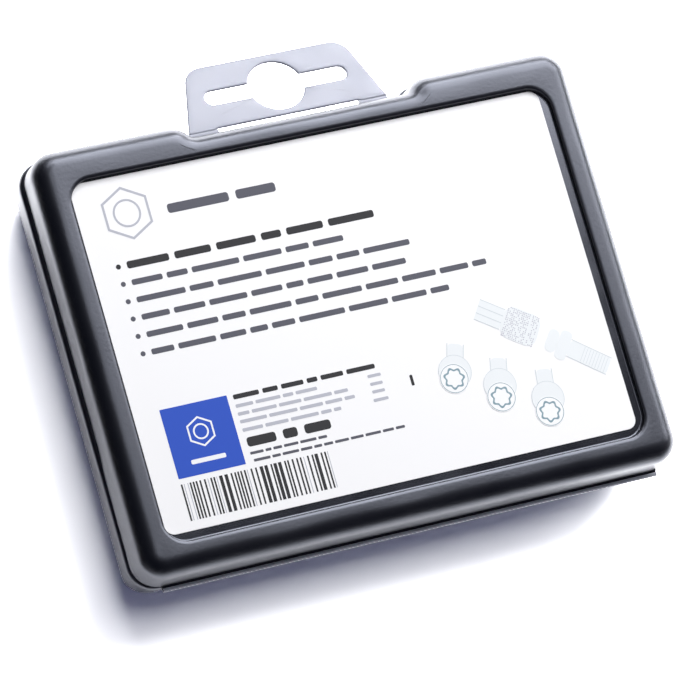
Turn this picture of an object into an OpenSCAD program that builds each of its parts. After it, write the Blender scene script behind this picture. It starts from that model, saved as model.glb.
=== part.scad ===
/* [Case] */
// Length of the closed case, left to right
case_l = 169.8; // [160:0.2:200]
// Width of the closed case, hinge side to hang tab side
case_w = 129; // [124:0.2:150]
// Radius of the outline's four corners
corner_r = 8; // [8:0.5:14]
// Height of the base half, from its underside to the parting line
base_h = 22; // [20:0.5:26]
// Height of the lid half above the parting line
lid_h = 14; // [12:0.5:16]
// Depth of the small chamfer along both parting edges
parting_chamfer = 0.5; // [0.2:0.1:1]
// Draft angle of the lid's outer wall, in degrees
lid_draft = 5; // [1:0.5:7]
// Radius of the lid's outer shoulder
lid_edge_r = 7; // [4:0.25:7.25]
// Straight height of the base's wall below the parting line
base_lead = 1; // [0.5:0.25:3]
// Distance from the outline in to the base's flat underside
base_foot_in = 7.75; // [6:0.25:7.75]
// Angle that the base's flank turns through before the bottom radius, in degrees
base_flank_a = 27; // [24:1:30]

/* [Notch for the hang tab] */
// Length of the notch's straight floor
notch_l = 66; // [60:1:80]
// Depth of the notch
notch_d = 4; // [4:0.25:5]
// Concave radius at the notch's floor
notch_in_r = 2; // [1:0.25:2]

/* [Label recess and card] */
// Border from the case's side to the recess, left and right
recess_side = 9.2; // [8.8:0.1:12]
// Border from the hinge side to the recess
recess_front = 9.3; // [8.8:0.1:12]
// Border from the hang tab side to the recess
recess_back = 11.3; // [10.5:0.1:14]
// Corner radius of the recess
recess_r = 7; // [4:0.5:10]
// Depth of the recess
recess_d = 2; // [1:0.25:3]
// Thickness of the card
card_t = 0.3; // [0.2:0.05:0.5]
// Corner radius of the card
card_r = 3; // [1:0.5:6]
// Gap from the card to the recess at its left and back edges
card_gap = 0.65; // [0.2:0.05:1]
// Gap from the card to the recess at its right and front edges
card_room = 2.75; // [1:0.25:6]

/* [Inside] */
// Width of the parting face at the left and right sides
rim_side = 10; // [9:0.5:12]
// Width of the parting face along the hinge
rim_front = 10; // [9:0.5:12]
// Width of the parting face along the hang tab side
rim_back = 12; // [11:0.5:13]
// Corner radius of the lid's tray
tray_r = 8; // [5:0.5:12]
// Thickness of the lid's panel under the card
panel_t = 2.6; // [2:0.1:4]
// Thickness of the base's locating lip
lip_t = 2; // [1.5:0.1:2.5]
// Height of the lip above the parting line
lip_h = 2.5; // [1.5:0.25:4]
// Clearance between the lip and the lid's tray
lip_gap = 0.4; // [0.3:0.05:0.8]
// Distance from the parting line down to the base's deck
deck_drop = 2; // [1:0.25:3]
// Thickness left under the pockets
floor_t = 3; // [2:0.25:4]
// Clearance all round a bolt or key in its pocket
pocket_gap = 0.6; // [0.3:0.1:1]
// Wall between the bolts' pockets and the deck's front edge
pocket_wall = 2.5; // [1.5:0.25:3]
// Wall between the outermost bolt pockets and the deck's side edges
end_wall = 4.9; // [3:0.1:8]
// Wall between the bolts' pockets and the key's pocket
key_wall = 4.5; // [3:0.25:5]
// Radius of the finger trough across the bolts' threads
trough_r = 9; // [8:0.5:9.5]
// Height of the trough's floor above the pockets' floor
trough_lift = 3; // [2:0.5:5]
// Reach of the trough past the outermost collars
trough_end = 4; // [2:0.5:5]
// Radius of the finger scoop at each end of the key
scoop_r = 12; // [10:0.5:13]
// Width of the two scoops
scoop_w = 18; // [15:0.5:20]
// Height of the scoops' middle above the deck
scoop_lift = 2; // [0:0.5:4]
// Thickness of the lid's rib that keeps the bolts down
rib_w = 5; // [3:0.5:6]
// Clearance between the rib and the bolts' threads
rib_gap = 0.6; // [0.4:0.1:1.5]
// Distance from the threads' tips to the rib's middle
rib_in = 5; // [3:0.5:8]

/* [Locking bolts] */
// Number of bolts
bolt_count = 4; // [3:1:4]
// Diameter of the thread
thread_d = 14; // [12:1:14]
// Length of the thread and its point
thread_l = 32; // [26:1:33]
// Height of the bevel at the thread's point
bolt_point = 1.5; // [1:0.25:2.5]
// Radius of the ball seat
seat_ball_r = 14; // [13.5:0.5:16]
// Diameter of the collar behind the seat
collar_d = 26; // [24:0.5:26]
// Thickness of the collar
collar_t = 2.5; // [1:0.5:3]
// Diameter of the head
head_d = 21; // [20:0.5:22]
// Length of the head behind the collar
head_l = 15; // [12:0.5:16]
// Bevel round the head's face
head_edge = 1; // [0.5:0.25:1.5]
// Mean radius of the lobed groove in the head's face
groove_r = 6.8; // [6:0.1:7.5]
// Height of the groove's lobes
groove_wave = 0.9; // [0.3:0.1:1.2]
// Number of lobes
groove_lobes = 7; // [5:1:9]
// Width of the groove
groove_w = 2; // [1.5:0.1:2.4]
// Depth of the groove
groove_depth = 5; // [3:0.5:6]

/* [Key adapter] */
// Diameter of the knurled sleeve
sleeve_d = 27; // [26:0.5:28]
// Length of the sleeve
sleeve_l = 24; // [20:1:28]
// Length of the round neck between sleeve and hexagon
neck_l = 2; // [1:0.5:4]
// Width across the flats of the hexagon
hex_af = 17; // [15:1:19]
// Length of the hexagon
hex_l = 17; // [12:1:20]
// Bevel at both ends of the sleeve and at the hexagon's end
key_edge = 1; // [0.5:0.25:1.5]
// Length of the plain ring at each end of the knurl
key_band = 2; // [1:0.25:3]
// Depth of the socket in front of its ridge
socket_lead = 7; // [5:0.5:8]
// Depth of the knurl's grooves
knurl_d = 0.5; // [0.3:0.1:0.8]
// Number of knurl grooves round the sleeve
knurl_n = 48; // [30:2:60]
// Clearance of the key's ridge and socket on the bolt
key_gap = 0.2; // [0.1:0.05:0.3]

/* [Hinge] */
// Distance from the case's left and right sides to the hinge web's ends
web_end = 6.9; // [6:0.1:12]
// Shift of the hinge web to the right of the middle
web_shift = 1.5; // [-2:0.5:2]
// Reach of the folded web in front of the walls
web_reach = 1.4; // [1:0.1:2.5]
// Thickness of each half of the folded web
web_t = 0.8; // [0.5:0.1:1.2]
// Depth that the web is rooted in the walls
web_root = 2; // [1:0.25:3]

/* [Hang tab] */
// Thickness of the hang tab
tab_t = 1; // [0.8:0.1:1.4]
// Width of the hang tab at its crease
tab_w = 63.4; // [56:0.2:66]
// Width of the hang tab at its free end, before its corners are rounded
tab_end_w = 50; // [48:0.5:54]
// Length of the hang tab from the crease to its free end
tab_l = 22.6; // [22:0.2:26]
// Radius of its two free corners
tab_corner_r = 6; // [4:0.5:8]
// Angle that the tab hangs below level, in degrees
tab_droop = 18; // [0:1:30]
// Shift of the tab to the right of the middle
tab_shift = 0.5; // [-1:0.25:1]
// Distance from the notch's wall to the crease
crease_out = 2; // [1.6:0.1:2.6]
// Length of the slot along the crease
slot_l = 44.5; // [40:0.5:46]
// Width of the slot on each side of the crease
slot_half_w = 1; // [0.8:0.1:1.4]
// Radius of the euro hole's round middle
euro_r = 8.5; // [7:0.25:9]
// Overall length of the euro hole
euro_l = 45; // [40:0.5:46]
// Height of the euro hole's side slots
euro_slot = 5; // [4:0.25:6]
// Distance from the crease to the middle of the euro hole
euro_y = 11.4; // [10.6:0.1:12]
// Length of the tab's root that lies between the two halves
root_l = 8; // [6:0.25:8]
// Diameter of the two studs that hold the root
stud_d = 4; // [3:0.25:4.5]
// Distance from the root's sides to the studs' middles
stud_in = 9; // [6:0.5:12]
// Clearance of the root in its rebate and on its studs
root_gap = 0.2; // [0.1:0.05:0.4]

/* [Hidden] */
$fn = 64;

cut = 1; // how far a cutting shape runs past the face it cuts
arc_step = 5; // degrees between the points of a drawn arc
back_a = 90; // direction of +Y
front_a = 270; // direction of -Y
corner_turn = 90; // turn of an outline corner
notch_turn = 60; // turn of a notch arc before its end is trimmed
lobe_points = 12; // points on each lobe of the groove

half_l = case_l / 2;
half_w = case_w / 2;
top_z = base_h + lid_h;
recess_z = top_z - recess_d;
ceiling_z = recess_z - panel_t;
deck_z = base_h - deck_drop;

// The lid's edge: the shoulder touches the drafted wall and the flat top
lid_edge_z = lid_h - lid_edge_r;
lid_edge_x = (lid_edge_r + lid_edge_z * sin(lid_draft)) / cos(lid_draft);

// The base's edge: a large flank radius and a bottom radius that meet at the flank's angle
flank_z = base_h - base_lead;
flank_sin = sin(base_flank_a);
flank_cos = cos(base_flank_a);
flank_r = (flank_z * flank_cos - base_foot_in * (1 - flank_sin)) / (flank_sin + flank_cos - 1);
bottom_r = (base_foot_in * flank_sin - flank_z * (1 - flank_cos)) / (flank_sin + flank_cos - 1);

// The notch's S-curve: two arcs that touch where both slope by a 3-4-5 triangle
notch_y = half_w - notch_d;
slope_cos = 0.6;
slope_sin = 0.8;
notch_a = acos(slope_cos);
notch_out_r = notch_d / (1 - slope_cos) - notch_in_r;
notch_in_x = notch_l / 2;
notch_out_x = notch_in_x + (notch_out_r + notch_in_r) * slope_sin;

// The recess and the card in its left back corner
recess_l = case_l - 2 * recess_side;
recess_w = case_w - recess_front - recess_back;
recess_y = (recess_front - recess_back) / 2;
card_l = recess_l - card_gap - card_room;
card_w = recess_w - card_gap - card_room;
card_x = -recess_l / 2 + card_gap + card_l / 2;
card_y = recess_y + recess_w / 2 - card_gap - card_w / 2;

// The lid's tray, and the base's tray inside its lip
tray_l = case_l - 2 * rim_side;
tray_w = case_w - rim_front - rim_back;
tray_y = (rim_front - rim_back) / 2;
lip_in = lip_gap + lip_t;
deck_l = tray_l - 2 * lip_in;
deck_front_y = tray_y - tray_w / 2 + lip_in;

// The bolts lie across the case with their heads to the front, the key behind them
shank_r = thread_d / 2;
collar_r = collar_d / 2;
seat_l = sqrt(seat_ball_r ^ 2 - shank_r ^ 2) - sqrt(seat_ball_r ^ 2 - collar_r ^ 2);
bolt_l = thread_l + seat_l + collar_t + head_l;
bolt_z = floor_t + collar_r;
bolt_front_y = deck_front_y + pocket_wall + pocket_gap;
bolt_back_y = bolt_front_y + bolt_l;
bolt_pitch = (deck_l - 2 * (end_wall + pocket_gap) - collar_d) / (bolt_count - 1);
bolts_l = bolt_pitch * (bolt_count - 1) + collar_d;
bolt_x0 = (collar_d - bolts_l) / 2;

sleeve_r = sleeve_d / 2;
hex_r = hex_af / 2 / cos(30);
key_l = sleeve_l + neck_l + hex_l;
key_z = floor_t + sleeve_r;
key_y = bolt_back_y + 2 * pocket_gap + key_wall + sleeve_r;
socket_r = head_d / 2 + key_gap;
socket_d = socket_lead + groove_depth;

// Finger room: a trough across the threads and a scoop at each end of the key
trough_share = 0.55; // where the trough crosses the threads, as a share of their length
trough_y = bolt_back_y - thread_l * trough_share;
trough_z = floor_t + trough_lift + trough_r;
trough_l = bolts_l + 2 * trough_end;
scoop_z = deck_z + scoop_lift;

// A rib under the lid's panel keeps the bolts down
rib_z = bolt_z + shank_r + rib_gap;
rib_y = bolt_back_y - rib_in;

// The living hinge turns about the outer line of its folded web
web_l = case_l - 2 * web_end;
hinge_y = -half_w - web_reach;

// The hang tab folds about the middle of its thickness at the crease
crease_y = notch_y + crease_out;
crease_z = base_h - tab_t / 2;
root_w = tab_w;
stud_x = tab_w / 2 - stud_in;
stud_y = notch_y - root_l / 2;

case_black = "#1d1e22";
card_white = "#f4f4f6";
tab_clear = "#c9ccd8";
bolt_steel = "#9aa0a8";
key_steel = "#5c6066";

// Rounded rectangle with exact corner arcs
module plate_2d(l, w, r) {
    square([l - 2 * r, w], center = true);
    square([l, w - 2 * r], center = true);
    for (x = [-1, 1], y = [-1, 1]) translate([x * (l / 2 - r), y * (w / 2 - r)]) circle(r);
}

// What the notch takes out of an outline that is drawn in by d
module notch_2d(d) {
    in_r = notch_in_r + d;
    out_r = notch_out_r - d;
    touch_x = notch_in_x + in_r * slope_sin;
    touch_y = notch_y + notch_in_r - in_r * slope_cos;
    translate([-notch_in_x, notch_y - d]) square([2 * notch_in_x, notch_d + d + cut]);
    for (s = [0, 1]) mirror([s, 0]) {
        translate([notch_in_x, notch_y + notch_in_r]) {
            circle(in_r);
            square([touch_x - notch_in_x, notch_d + cut]);
        }
        difference() {
            translate([touch_x, touch_y])
                square([notch_out_x - touch_x, half_w + cut - touch_y]);
            translate([notch_out_x, half_w - notch_out_r]) circle(out_r);
        }
    }
}

// The case's outline drawn in by d
module outline_2d(d, notched = true) {
    difference() {
        plate_2d(case_l - 2 * d, case_w - 2 * d, corner_r - d);
        if (notched) notch_2d(d);
    }
}

// A child profile (distance in from the outline, height) along a straight side at y = -reach
module along(reach, from_x, to_x) {
    translate([from_x, -reach, 0]) rotate([90, 0, 90]) linear_extrude(to_x - from_x) children();
}

// The child profile round a convex corner
module round_corner(x, y, r, from_a, turn) {
    translate([x, y, 0]) rotate(from_a) rotate_extrude(angle = turn)
        translate([r, 0]) mirror([1, 0]) children();
}

// The child profile round a hollow corner
module hollow_corner(x, y, r, from_a, turn) {
    translate([x, y, 0]) rotate(from_a) rotate_extrude(angle = turn) translate([r, 0]) children();
}

// Ends a corner at an angle with one flat face, so that two arcs meet exactly there
module trimmed(end_a) {
    reach = corner_r + notch_out_r;
    intersection() {
        children();
        rotate(end_a) translate([0, -reach, 0]) cube([reach, reach, top_z]);
    }
}

// The child profile carried right round the case's outline
module round_the_case(notched) {
    corner_x = half_l - corner_r;
    corner_y = half_w - corner_r;
    along(half_w, -corner_x, corner_x) children();
    for (a = [90, 270]) rotate(a) along(half_l, -corner_y, corner_y) children();
    for (s = [0, 1]) mirror([s, 0, 0]) {
        round_corner(corner_x, corner_y, corner_r, 0, corner_turn) children();
        round_corner(corner_x, -corner_y, corner_r, front_a, corner_turn) children();
        if (notched) {
            translate([notch_out_x, half_w - notch_out_r, 0]) trimmed(back_a + notch_a)
                round_corner(0, 0, notch_out_r, back_a, notch_turn) children();
            translate([notch_in_x, notch_y + notch_in_r, 0]) trimmed(front_a + notch_a)
                hollow_corner(0, 0, notch_in_r, front_a, notch_turn) children();
        }
    }
    rotate(180) {
        if (notched) {
            along(half_w, -corner_x, -notch_out_x) children();
            along(half_w, notch_out_x, corner_x) children();
            along(notch_y, -notch_in_x, notch_in_x) children();
        } else {
            along(half_w, -corner_x, corner_x) children();
        }
    }
}

// Points along an arc, about arc_step degrees apart
function arc_points(x, y, r, from_a, to_a) =
    let (steps = ceil((to_a - from_a) / arc_step))
    [for (i = [0:steps]) let (a = from_a + (to_a - from_a) * i / steps) [x + r * cos(a), y + r * sin(a)]];

// Section of the lid's border: chamfer, drafted wall and round shoulder
module lid_edge_2d() {
    wall_x = lid_edge_x - lid_edge_r * cos(lid_draft);
    wall_z = lid_edge_z + lid_edge_r * sin(lid_draft);
    intersection() {
        square([lid_edge_x, lid_h]);
        union() {
            polygon([
                [parting_chamfer, 0],
                [parting_chamfer * tan(lid_draft), parting_chamfer],
                [wall_x, wall_z],
                [lid_edge_x, lid_h],
                [lid_edge_x, 0]
            ]);
            translate([lid_edge_x, lid_edge_z]) circle(lid_edge_r);
        }
    }
}

// Section of the base's border: chamfer, short wall, flank and bottom radius
module base_edge_2d() {
    turn_a = 180 + base_flank_a;
    polygon(concat(
        [[parting_chamfer, base_h], [0, base_h - parting_chamfer]],
        arc_points(flank_r, flank_z, flank_r, 180, turn_a),
        arc_points(base_foot_in, bottom_r, bottom_r, turn_a + arc_step, front_a),
        [[base_foot_in, base_h]]
    ));
}

// One half of the folded hinge web, from the wall to the fold line
module hinge_web(z) {
    translate([web_shift - web_l / 2, hinge_y, z]) cube([web_l, web_reach + web_root, web_t]);
}

// A lying cylinder along Y with its top opened up to the deck
module pocket_along_y(r, z, from_y, to_y) {
    translate([0, from_y, z]) rotate([-90, 0, 0]) cylinder(r = r, h = to_y - from_y);
    translate([-r, from_y, z]) cube([2 * r, to_y - from_y, base_h + cut - z]);
}

// Pocket for one bolt: a wide part for head and collar, a narrow part for the thread
module bolt_pocket() {
    head_back_y = bolt_back_y - thread_l;
    wide = collar_r + pocket_gap;
    narrow = shank_r + pocket_gap;
    pocket_along_y(wide, bolt_z + pocket_gap, bolt_front_y - pocket_gap, head_back_y);
    pocket_along_y(narrow, bolt_z + pocket_gap, head_back_y - cut, bolt_back_y + pocket_gap);
}

// Pocket for the key with a finger scoop at each end
module key_pocket() {
    wide = sleeve_r + pocket_gap;
    narrow = hex_r + pocket_gap;
    sleeve_end = -key_l / 2 + sleeve_l;
    translate([0, key_y, 0]) rotate(-90) {
        pocket_along_y(wide, key_z + pocket_gap, -key_l / 2 - pocket_gap, sleeve_end + pocket_gap);
        pocket_along_y(narrow, key_z + pocket_gap, sleeve_end, key_l / 2 + pocket_gap);
    }
    for (s = [-1, 1]) translate([s * key_l / 2, key_y - scoop_w / 2, scoop_z])
        rotate([-90, 0, 0]) cylinder(r = scoop_r, h = scoop_w);
}

// Lower half of the case, with its moulded tray, lip and half of the hinge
module case_base() {
    lip_front_y = tray_y - tray_w / 2 + tray_r + lip_t;
    color(case_black) {
        difference() {
            union() {
                difference() {
                    union() {
                        round_the_case(false) base_edge_2d();
                        linear_extrude(base_h) outline_2d(base_foot_in, false);
                    }
                    translate([0, 0, -cut]) linear_extrude(base_h + 2 * cut) notch_2d(0);
                }
                intersection() {
                    translate([0, tray_y, deck_z]) linear_extrude(deck_drop + lip_h)
                        plate_2d(tray_l - 2 * lip_gap, tray_w - 2 * lip_gap, tray_r - lip_gap);
                    translate([-half_l, lip_front_y, 0]) cube([case_l, case_w, top_z]);
                }
                hinge_web(base_h - web_t);
            }
            translate([0, tray_y, deck_z]) linear_extrude(deck_drop + lip_h + cut)
                plate_2d(tray_l - 2 * lip_in, tray_w - 2 * lip_in, tray_r - lip_in);
            for (i = [0:bolt_count - 1]) translate([bolt_x0 + i * bolt_pitch, 0, 0]) bolt_pocket();
            key_pocket();
            translate([-trough_l / 2, trough_y, trough_z]) {
                rotate([0, 90, 0]) cylinder(r = trough_r, h = trough_l);
                translate([0, -trough_r, 0]) cube([trough_l, 2 * trough_r, base_h]);
            }
            translate([tab_shift - root_w / 2 - root_gap, notch_y - root_l - root_gap, base_h - tab_t])
                cube([root_w + 2 * root_gap, case_w, tab_t + cut]);
        }
        for (s = [-1, 1]) translate([tab_shift + s * stud_x, stud_y, deck_z])
            cylinder(d = stud_d, h = deck_drop);
    }
}

// Upper half of the case, with the label recess, inner tray, ribs and half of the hinge
module case_lid() {
    color(case_black) difference() {
        union() {
            difference() {
                translate([0, 0, base_h]) union() {
                    round_the_case(true) lid_edge_2d();
                    linear_extrude(lid_h) outline_2d(lid_edge_x);
                }
                translate([0, tray_y, base_h - cut]) linear_extrude(ceiling_z - base_h + cut)
                    plate_2d(tray_l, tray_w, tray_r);
            }
            translate([-bolts_l / 2, rib_y - rib_w / 2, rib_z + rib_w / 2])
                cube([bolts_l, rib_w, ceiling_z + cut - rib_z - rib_w / 2]);
            translate([-bolts_l / 2, rib_y, rib_z + rib_w / 2])
                rotate([0, 90, 0]) cylinder(d = rib_w, h = bolts_l);
            hinge_web(base_h);
        }
        translate([0, recess_y, recess_z]) linear_extrude(recess_d + cut)
            plate_2d(recess_l, recess_w, recess_r);
    }
}

// Card that lies in the recess
module label_card() {
    color(card_white) translate([card_x, card_y, recess_z])
        linear_extrude(card_t) plate_2d(card_l, card_w, card_r);
}

// A bevelled plate edge whose thin end lies on the crease, for one crease strip
module crease_edge(from_x, to_x) {
    rotate([90, 0, 90]) translate([0, 0, from_x]) linear_extrude(to_x - from_x)
        polygon([[0, 0], [tab_t / 2, tab_t / 2], [tab_t / 2, -tab_t / 2]]);
}

// The two crease strips beside the slot
module crease_strips() {
    for (s = [0, 1]) mirror([s, 0, 0]) crease_edge(slot_l / 2, tab_w / 2);
}

// Root of the hang tab: it lies in the base's rebate and is held by the two studs
module hang_tab_root() {
    body_l = root_l + crease_out - tab_t / 2;
    color(tab_clear) difference() {
        translate([tab_shift, crease_y, crease_z]) difference() {
            union() {
                mirror([0, 1, 0]) crease_strips();
                translate([-root_w / 2, -root_l - crease_out, -tab_t / 2]) cube([root_w, body_l, tab_t]);
            }
            translate([-slot_l / 2, -slot_half_w, -tab_t]) cube([slot_l, 2 * slot_half_w, 2 * tab_t]);
        }
        for (s = [-1, 1]) translate([tab_shift + s * stud_x, stud_y, 0])
            cylinder(r = stud_d / 2 + root_gap, h = top_z);
    }
}

// Outline of the hang tab beyond the crease, with its free corners rounded
module tab_outline_2d() {
    lean = (tab_w - tab_end_w) / 2 / tab_l;
    side_a = atan(lean);
    corner_y = tab_l - tab_corner_r;
    corner_x = tab_w / 2 - lean * corner_y - tab_corner_r / cos(side_a);
    touch = [corner_x + tab_corner_r * cos(side_a), corner_y + tab_corner_r * sin(side_a)];
    foot_y = tab_t / 2;
    foot_x = tab_w / 2;
    polygon([
        [-foot_x, foot_y],
        [-touch[0], touch[1]],
        [-corner_x, tab_l],
        [corner_x, tab_l],
        touch,
        [foot_x, foot_y]
    ]);
    for (s = [-1, 1]) translate([s * corner_x, corner_y]) circle(tab_corner_r);
}

// Euro hole: a round middle with a round-ended slot to each side
module euro_hole_2d() {
    end_x = (euro_l - euro_slot) / 2;
    circle(euro_r);
    square([2 * end_x, euro_slot], center = true);
    for (s = [-1, 1]) translate([s * end_x, 0]) circle(d = euro_slot);
}

// Hang tab from the crease outwards, at the angle that it hangs
module hang_tab() {
    color(tab_clear) translate([tab_shift, crease_y, crease_z]) rotate([-tab_droop, 0, 0])
        difference() {
            union() {
                crease_strips();
                translate([0, 0, -tab_t / 2]) linear_extrude(tab_t) tab_outline_2d();
            }
            translate([-slot_l / 2, -slot_half_w, -tab_t]) cube([slot_l, 2 * slot_half_w, 2 * tab_t]);
            translate([0, euro_y, -tab_t]) linear_extrude(2 * tab_t) euro_hole_2d();
        }
}

// Closed wavy line that the bolt's groove and the key's ridge follow
function lobes(r) = [
    for (i = [0:groove_lobes * lobe_points - 1])
        let (a = 360 * i / (groove_lobes * lobe_points), reach = r + groove_wave * cos(groove_lobes * a))
        [reach * cos(a), reach * sin(a)]
];

// Lobed ring of a given width
module lobed_ring_2d(w) {
    difference() {
        polygon(lobes(groove_r + w / 2));
        polygon(lobes(groove_r - w / 2));
    }
}

// One locking bolt, point down, with its ball seat, collar and grooved head
module bolt() {
    seat_z = thread_l;
    ball_z = seat_z + sqrt(seat_ball_r ^ 2 - shank_r ^ 2);
    collar_z = seat_z + seat_l;
    head_z = collar_z + collar_t;
    difference() {
        union() {
            cylinder(h = bolt_point, r1 = shank_r - bolt_point, r2 = shank_r);
            translate([0, 0, bolt_point]) cylinder(h = thread_l - bolt_point, r = shank_r);
            intersection() {
                translate([0, 0, ball_z]) sphere(seat_ball_r);
                translate([0, 0, seat_z]) cylinder(h = seat_l, r = collar_r + cut);
            }
            translate([0, 0, collar_z]) cylinder(h = collar_t, r = collar_r);
            translate([0, 0, head_z]) cylinder(h = head_l - head_edge, d = head_d);
            translate([0, 0, head_z + head_l - head_edge])
                cylinder(h = head_edge, r1 = head_d / 2, r2 = head_d / 2 - head_edge);
        }
        translate([0, 0, head_z + head_l - groove_depth])
            linear_extrude(groove_depth + cut) lobed_ring_2d(groove_w);
    }
}

// One locking bolt in its pocket
module locking_bolt(i) {
    color(bolt_steel) translate([bolt_x0 + (i - 1) * bolt_pitch, bolt_back_y, bolt_z])
        rotate([90, 0, 0]) bolt();
}

// The sleeve's section with its knurl grooves
module knurled_2d() {
    difference() {
        circle(sleeve_r);
        for (i = [0:knurl_n - 1]) rotate(360 * (i + 0.5) / knurl_n) translate([sleeve_r, 0])
            rotate(45) square(knurl_d * sqrt(2), center = true);
    }
}

// Key adapter: knurled sleeve with a lobed ridge in its socket, neck and hexagon
module key_adapter() {
    band = key_edge + key_band;
    color(key_steel) translate([-key_l / 2, key_y, key_z]) rotate([90, 0, 90]) {
        difference() {
            union() {
                cylinder(h = key_edge, r1 = sleeve_r - key_edge, r2 = sleeve_r);
                translate([0, 0, key_edge]) cylinder(h = band - key_edge, r = sleeve_r);
                translate([0, 0, band]) linear_extrude(sleeve_l - 2 * band) knurled_2d();
                translate([0, 0, sleeve_l - band]) cylinder(h = band - key_edge, r = sleeve_r);
                translate([0, 0, sleeve_l - key_edge])
                    cylinder(h = key_edge, r1 = sleeve_r, r2 = sleeve_r - key_edge);
                translate([0, 0, sleeve_l]) cylinder(h = neck_l, r = hex_r);
                translate([0, 0, sleeve_l + neck_l]) intersection() {
                    cylinder(h = hex_l, r = hex_r, $fn = 6);
                    cylinder(h = hex_l, r1 = hex_r + hex_l - key_edge, r2 = hex_r - key_edge);
                }
            }
            translate([0, 0, -cut]) cylinder(h = socket_d + cut, r = socket_r);
        }
        translate([0, 0, socket_lead + key_gap])
            linear_extrude(groove_depth) lobed_ring_2d(groove_w - 2 * key_gap);
    }
}

case_base();
case_lid();
label_card();
hang_tab_root();
hang_tab();
key_adapter();
for (i = [1:bolt_count]) {
    locking_bolt(i);
}
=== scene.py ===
"""Looks of a hinged storage case for locking wheel bolts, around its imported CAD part.

Lengths are in millimetres in the part's own frame, and write_mesh turns them into metres.
"""

import math

import bpy
import numpy as np
from mathutils import Matrix, Vector


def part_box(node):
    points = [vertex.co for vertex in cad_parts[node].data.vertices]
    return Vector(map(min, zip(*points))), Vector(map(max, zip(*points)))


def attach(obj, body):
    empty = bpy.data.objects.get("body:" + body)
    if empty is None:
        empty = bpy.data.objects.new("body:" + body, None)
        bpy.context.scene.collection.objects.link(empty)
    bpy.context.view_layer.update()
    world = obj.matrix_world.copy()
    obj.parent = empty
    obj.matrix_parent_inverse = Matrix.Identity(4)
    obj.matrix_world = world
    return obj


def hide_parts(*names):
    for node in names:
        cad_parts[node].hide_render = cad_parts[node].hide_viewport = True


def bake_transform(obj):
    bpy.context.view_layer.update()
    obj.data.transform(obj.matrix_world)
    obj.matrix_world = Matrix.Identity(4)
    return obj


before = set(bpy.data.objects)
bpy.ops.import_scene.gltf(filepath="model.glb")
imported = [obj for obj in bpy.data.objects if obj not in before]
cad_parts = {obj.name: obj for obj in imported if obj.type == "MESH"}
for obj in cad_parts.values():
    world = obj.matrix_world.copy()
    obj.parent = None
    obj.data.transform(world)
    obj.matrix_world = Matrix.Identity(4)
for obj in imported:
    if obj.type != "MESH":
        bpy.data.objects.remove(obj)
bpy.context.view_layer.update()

MM = 0.001


def box_of(node):
    """Lowest and highest corner of a CAD node, in millimetres."""
    low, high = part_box(node)
    return np.array(low) / MM, np.array(high) / MM


# Sizes that the frame's boxes give
base_low, base_high = box_of("case_base")
lid_low, lid_high = box_of("case_lid")
card_low, card_high = box_of("label_card")
root_low, root_high = box_of("hang_tab_root")
half_l = base_high[0]
half_w = base_high[1]
hinge_y = base_low[1]
parting_z = lid_low[2]
top_z = lid_high[2]
recess_z = card_low[2]
card_mid_x, card_mid_y = (card_low[:2] + card_high[:2]) / 2

# Outline of the case and its notch
corner_r = 8
chamfer = 0.5
notch_in_x = 33
notch_in_r = 2
notch_d = 4
notch_out_r = 8
notch_out_x = 41
notch_slope_sin = 0.8
notch_squeeze = 0.18
notch_y = half_w - notch_d
# The notch's ends along the back side, from -1 to 1, where the shells' points crowd
notch_at = (-0.52, 0.52)
notch_crowd_w = 0.07

# Open seam between the halves: the lid's sharp foot stands in from the base's round edge
seam_in = 3.0
seam_half = 0.35
base_edge_r = 1.5
lid_foot_in = 1.8

# Section of the lid's border and of the base's side
lid_draft = math.radians(5)
lid_edge_r = 5.6
lid_edge_z = top_z - lid_edge_r
lid_edge_x = (lid_edge_r + (lid_edge_z - parting_z) * math.sin(lid_draft)) / math.cos(lid_draft)
base_lead = 1
foot_in = 7.75
flank_deg = 27
flank_z = parting_z - base_lead
flank_sin, flank_cos = math.sin(math.radians(flank_deg)), math.cos(math.radians(flank_deg))
flank_r = (flank_z * flank_cos - foot_in * (1 - flank_sin)) / (flank_sin + flank_cos - 1)
bottom_r = (foot_in * flank_sin - flank_z * (1 - flank_cos)) / (flank_sin + flank_cos - 1)

# Label recess
recess_half_x = half_l - 9.2
recess_front, recess_back = 9.3, 11.3
recess_half_y = half_w - (recess_front + recess_back) / 2
recess_y = (recess_front - recess_back) / 2
recess_r = 7
rim_r = 1.8
rim_deg = 36
rim_foot_r = 0.25
recess_foot_r = 0.5

# Trays inside both halves, and the base's lip
tray_half_x = half_l - 10
tray_half_y = half_w - 11
tray_y = -1
tray_r = 8
panel_t = 2.6
ceiling_z = recess_z - panel_t
lip_gap = 0.4
lip_t = 2
lip_h = 2.5
lip_start_y = tray_y - tray_half_y + tray_r + lip_t
lip_start_l = 3
deck_z = parting_z - 2
deck_fillet = 1
pocket_gap = 0.6
rib_w = 5
rib_z = 23.6

# Wheel bolts and their key
shank_r = 7
shank_l = 32
sleeve_l = 24

# Hang tab, in its own plane with the crease at 0
tab_t = 1
tab_w = 63.4
tab_end_w = 50
tab_l = 22.6
tab_corner_r = 6
tab_droop = math.radians(18)
tab_x = (root_low[0] + root_high[0]) / 2
crease_y = root_high[1]
crease_z = (root_low[2] + root_high[2]) / 2
crease_slot_l = 44.5
crease_slot_half_w = 1
crease_gap = 0.5
euro_r = 8.5
euro_l = 45
euro_slot = 5
euro_y = 11.4


def smooth(t):
    """Smooth step: 0 up to t = 0, 1 from t = 1, with level ends."""
    t = np.clip(t, 0, 1)
    return t * t * (3 - 2 * t)


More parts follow.
